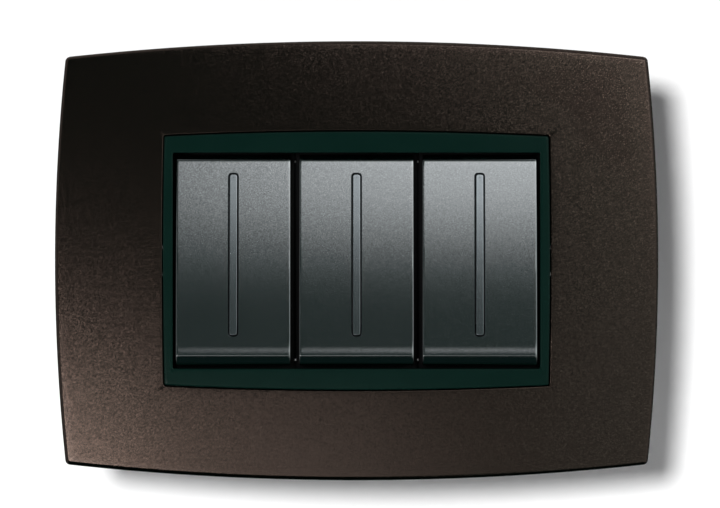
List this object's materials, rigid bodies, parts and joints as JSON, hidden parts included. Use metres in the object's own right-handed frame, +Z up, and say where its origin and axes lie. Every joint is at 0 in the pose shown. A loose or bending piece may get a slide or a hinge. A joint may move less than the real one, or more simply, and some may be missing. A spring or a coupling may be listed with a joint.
{
  "type": "wall switch with cover plate",
  "caption": "Row of rocker switches behind a bowed metallic cover plate with a dark trim frame, for a rectangular flush wall box.",
  "frame": {"origin": "centre of the wall box's mouth, on the wall plane", "axes": "+Z up, front faces -Y, wall plane is Y = 0, +X to the right seen from the front"},
  "size_m": [0.1226, 0.042, 0.0892],
  "materials": {
    "bronze_paint": "fine metallic lacquer, satin",
    "green_black_gloss": "polished",
    "anthracite_paint": "metallic lacquer on plastic, satin",
    "smoked_lens": "smooth",
    "black_polyamide": "moulded",
    "black_polycarbonate": "moulded",
    "grey_thermoset": "moulded",
    "white_acetal": "moulded",
    "brass": "bright",
    "silver_alloy": "polished",
    "zinc_plated_steel": "zinc plated"
  },
  "bodies": {
    "support": {"mounting_frame": "black_polyamide", "fixing_screw_left": "zinc_plated_steel", "fixing_screw_right": "zinc_plated_steel", "module_carrier_left": "black_polycarbonate", "switch_housing_left": "grey_thermoset", "fixed_contact_left": "silver_alloy", "load_terminal_left": "brass", "common_terminal_left": "brass", "load_clamp_screw_left": "zinc_plated_steel", "common_clamp_screw_left": "zinc_plated_steel", "module_carrier_centre": "black_polycarbonate", "switch_housing_centre": "grey_thermoset", "fixed_contact_centre": "silver_alloy", "load_terminal_centre": "brass", "common_terminal_centre": "brass", "load_clamp_screw_centre": "zinc_plated_steel", "common_clamp_screw_centre": "zinc_plated_steel", "module_carrier_right": "black_polycarbonate", "switch_housing_right": "grey_thermoset", "fixed_contact_right": "silver_alloy", "load_terminal_right": "brass", "common_terminal_right": "brass", "load_clamp_screw_right": "zinc_plated_steel", "common_clamp_screw_right": "zinc_plated_steel"},
    "cover": {"cover_plate": "bronze_paint", "trim_bezel": "green_black_gloss"},
    "rocker_left": {"rocker_key_left": "anthracite_paint", "light_strip_left": "smoked_lens", "rocker_cradle_left": "black_polyamide", "plunger_spring_left": "zinc_plated_steel"},
    "plunger_left": {"plunger_left": "white_acetal"},
    "lever_left": {"contact_lever_left": "brass", "moving_contact_left": "silver_alloy"},
    "rocker_centre": {"rocker_key_centre": "anthracite_paint", "light_strip_centre": "smoked_lens", "rocker_cradle_centre": "black_polyamide", "plunger_spring_centre": "zinc_plated_steel"},
    "plunger_centre": {"plunger_centre": "white_acetal"},
    "lever_centre": {"contact_lever_centre": "brass", "moving_contact_centre": "silver_alloy"},
    "rocker_right": {"rocker_key_right": "anthracite_paint", "light_strip_right": "smoked_lens", "rocker_cradle_right": "black_polyamide", "plunger_spring_right": "zinc_plated_steel"},
    "plunger_right": {"plunger_right": "white_acetal"},
    "lever_right": {"contact_lever_right": "brass", "moving_contact_right": "silver_alloy"}
  },
  "joints": [
    {"name": "cover_unclip", "type": "slide", "parent": "support", "child": "cover", "axis": [0, -1, 0], "range_m": [0, 0.012]},
    {"name": "rocker_left_tilt", "type": "hinge", "parent": "support", "child": "rocker_left", "pos_m": [-0.025, -0.006, 0], "axis": [1, 0, 0], "range_deg": [0, 9]},
    {"name": "lever_left_tilt", "type": "hinge", "parent": "support", "child": "lever_left", "pos_m": [-0.025, 0.0055, 0], "axis": [1, 0, 0], "range_deg": [-9.6, 0]},
    {"name": "plunger_left_slide", "type": "slide", "parent": "rocker_left", "child": "plunger_left", "axis": [0, -0.9969, 0.0785], "range_m": [0, 0.0008], "stiffness_N_per_m": 400, "springref_m": -0.002, "deforming": ["plunger_spring_left"]},
    {"name": "rocker_centre_tilt", "type": "hinge", "parent": "support", "child": "rocker_centre", "pos_m": [0, -0.006, 0], "axis": [1, 0, 0], "range_deg": [0, 9]},
    {"name": "lever_centre_tilt", "type": "hinge", "parent": "support", "child": "lever_centre", "pos_m": [0, 0.0055, 0], "axis": [1, 0, 0], "range_deg": [-9.6, 0]},
    {"name": "plunger_centre_slide", "type": "slide", "parent": "rocker_centre", "child": "plunger_centre", "axis": [0, -0.9969, 0.0785], "range_m": [0, 0.0008], "stiffness_N_per_m": 400, "springref_m": -0.002, "deforming": ["plunger_spring_centre"]},
    {"name": "rocker_right_tilt", "type": "hinge", "parent": "support", "child": "rocker_right", "pos_m": [0.025, -0.006, 0], "axis": [1, 0, 0], "range_deg": [0, 9]},
    {"name": "lever_right_tilt", "type": "hinge", "parent": "support", "child": "lever_right", "pos_m": [0.025, 0.0055, 0], "axis": [1, 0, 0], "range_deg": [-9.6, 0]},
    {"name": "plunger_right_slide", "type": "slide", "parent": "rocker_right", "child": "plunger_right", "axis": [0, -0.9969, 0.0785], "range_m": [0, 0.0008], "stiffness_N_per_m": 400, "springref_m": -0.002, "deforming": ["plunger_spring_right"]}
  ],
  "couplings": [
    {"joint": "lever_left_tilt", "follows": "rocker_left_tilt", "ratio": -1.0556},
    {"joint": "lever_centre_tilt", "follows": "rocker_centre_tilt", "ratio": -1.0556},
    {"joint": "lever_right_tilt", "follows": "rocker_right_tilt", "ratio": -1.0556}
  ]
}
